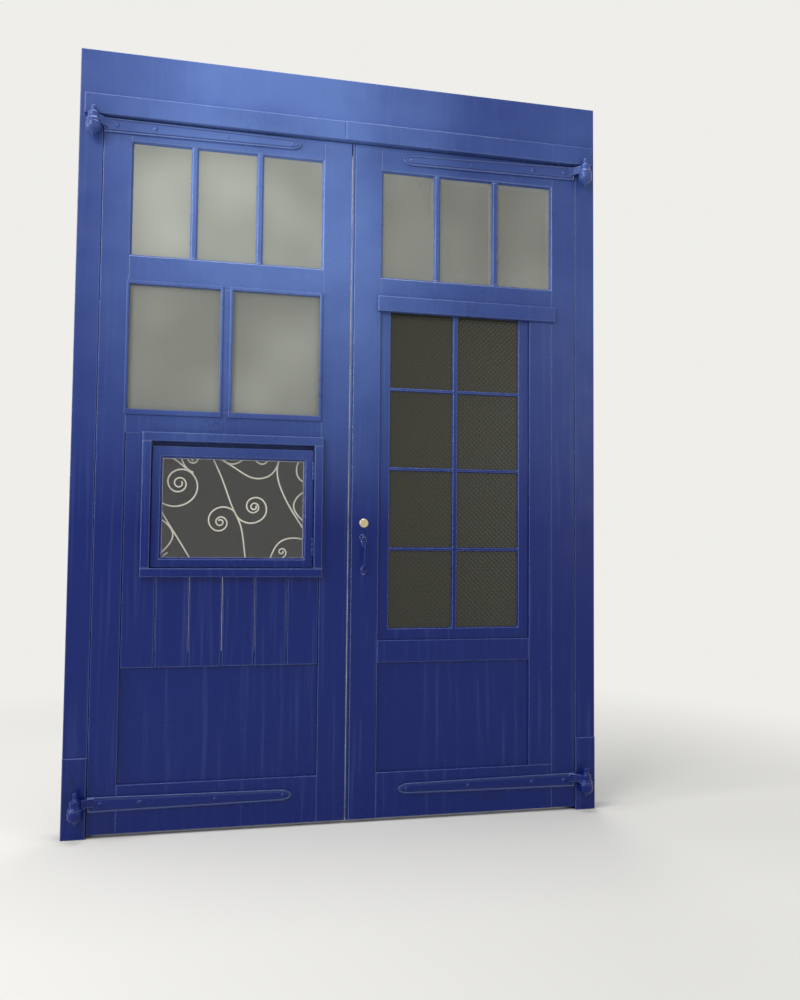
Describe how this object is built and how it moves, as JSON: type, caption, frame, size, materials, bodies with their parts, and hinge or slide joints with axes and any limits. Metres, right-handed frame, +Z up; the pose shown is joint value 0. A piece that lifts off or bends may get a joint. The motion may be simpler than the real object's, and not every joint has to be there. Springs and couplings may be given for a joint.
{
  "type": "framed coach-house double door",
  "caption": "Pair of side-hung framed timber doors in their frame, with glazed upper lights, a small casement, a tall glazed sash and long cast strap hinges.",
  "frame": {"origin": "middle of the doorway at ground level, on the plane of the leaves' outer faces", "axes": "+X to the right seen from the street, +Y into the building, +Z up"},
  "size_m": [2.368, 0.191, 3.356],
  "materials": {
    "painted_timber": "brushed blue gloss paint, worn",
    "painted_iron": "blue gloss paint over cast iron",
    "cream_iron": "cream paint on flat bar",
    "clear_glass": "clear drawn glass",
    "obscured_glass": "obscured cast glass with a diamond pattern",
    "lock_brass": "worn brass"
  },
  "bodies": {
    "frame": {"head_beam": "painted_timber", "head_fascia_left": "painted_timber", "head_fascia_right": "painted_timber", "left_post": "painted_timber", "right_post": "painted_timber", "post_plinths": "painted_timber", "frame_stops": "painted_timber", "left_hinge_hooks": "painted_iron", "right_hinge_hooks": "painted_iron", "head_keep": "painted_iron"},
    "left_leaf": {"left_hanging_stile": "painted_timber", "left_meeting_stile": "painted_timber", "left_top_rail": "painted_timber", "left_upper_rail": "painted_timber", "left_middle_rail": "painted_timber", "left_bottom_rail": "painted_timber", "left_ledge": "painted_timber", "left_glazing_bars": "painted_timber", "left_top_glass": "clear_glass", "left_middle_glass": "clear_glass", "left_planted_beads": "painted_timber", "left_boards": "painted_timber", "left_kick_panel": "painted_timber", "casement_architrave": "painted_timber", "casement_lining": "painted_timber", "scroll_grille": "cream_iron", "left_top_strap": "painted_iron", "left_bottom_strap": "painted_iron", "left_strap_bolts": "painted_iron", "casement_frame_butts": "painted_iron", "tower_bolt_plates": "painted_iron", "latch_keep": "painted_iron"},
    "right_leaf": {"right_hanging_stile": "painted_timber", "right_meeting_stile": "painted_timber", "right_top_rail": "painted_timber", "right_middle_rail": "painted_timber", "right_drip": "painted_timber", "right_lock_rail": "painted_timber", "right_bottom_rail": "painted_timber", "right_margin_stile": "painted_timber", "right_glazing_bars": "painted_timber", "right_top_glass": "clear_glass", "lower_sash": "painted_timber", "obscured_glass": "obscured_glass", "right_bottom_panel": "painted_timber", "right_top_strap": "painted_iron", "right_bottom_strap": "painted_iron", "right_strap_bolts": "painted_iron", "rim_cylinder": "lock_brass", "pull_handle": "painted_iron", "night_latch_case": "painted_iron"},
    "casement": {"casement_sash": "painted_timber", "casement_glass": "clear_glass", "casement_sash_butts": "painted_iron"},
    "catch": {"casement_catch": "painted_iron"},
    "head_bolt": {"top_bolt": "painted_iron"},
    "foot_bolt": {"bottom_bolt": "painted_iron"},
    "latch": {"latch_bolt": "lock_brass"},
    "knob": {"latch_knob": "lock_brass"}
  },
  "joints": [
    {"name": "left_leaf_hinge", "type": "hinge", "parent": "frame", "child": "left_leaf", "pos_m": [-1.122, -0.042, 1.5], "axis": [0, 0, -1], "range_deg": [0, 105]},
    {"name": "right_leaf_hinge", "type": "hinge", "parent": "frame", "child": "right_leaf", "pos_m": [1.122, -0.042, 1.5], "axis": [0, 0, 1], "range_deg": [0, 105]},
    {"name": "casement_hinge", "type": "hinge", "parent": "left_leaf", "child": "casement", "pos_m": [-0.1626, -0.017, 1.385], "axis": [0, 0, 1], "range_deg": [0, 90]},
    {"name": "catch_turn", "type": "hinge", "parent": "casement", "child": "catch", "pos_m": [-0.83, 0.035, 1.385], "axis": [0, 1, 0], "range_deg": [0, 90]},
    {"name": "head_bolt_slide", "type": "slide", "parent": "left_leaf", "child": "head_bolt", "axis": [0, 0, 1], "range_m": [0, 0.05]},
    {"name": "foot_bolt_slide", "type": "slide", "parent": "left_leaf", "child": "foot_bolt", "axis": [0, 0, -1], "range_m": [0, 0.05]},
    {"name": "knob_turn", "type": "hinge", "parent": "right_leaf", "child": "knob", "pos_m": [0.071, 0.084, 1.325], "axis": [0, 1, 0], "range_deg": [0, 60]},
    {"name": "latch_slide", "type": "slide", "parent": "right_leaf", "child": "latch", "axis": [-1, 0, 0], "range_m": [0, 0.023]}
  ],
  "couplings": [
    {"joint": "knob_turn", "follows": "latch_slide", "rad_per_m": 45}
  ]
}
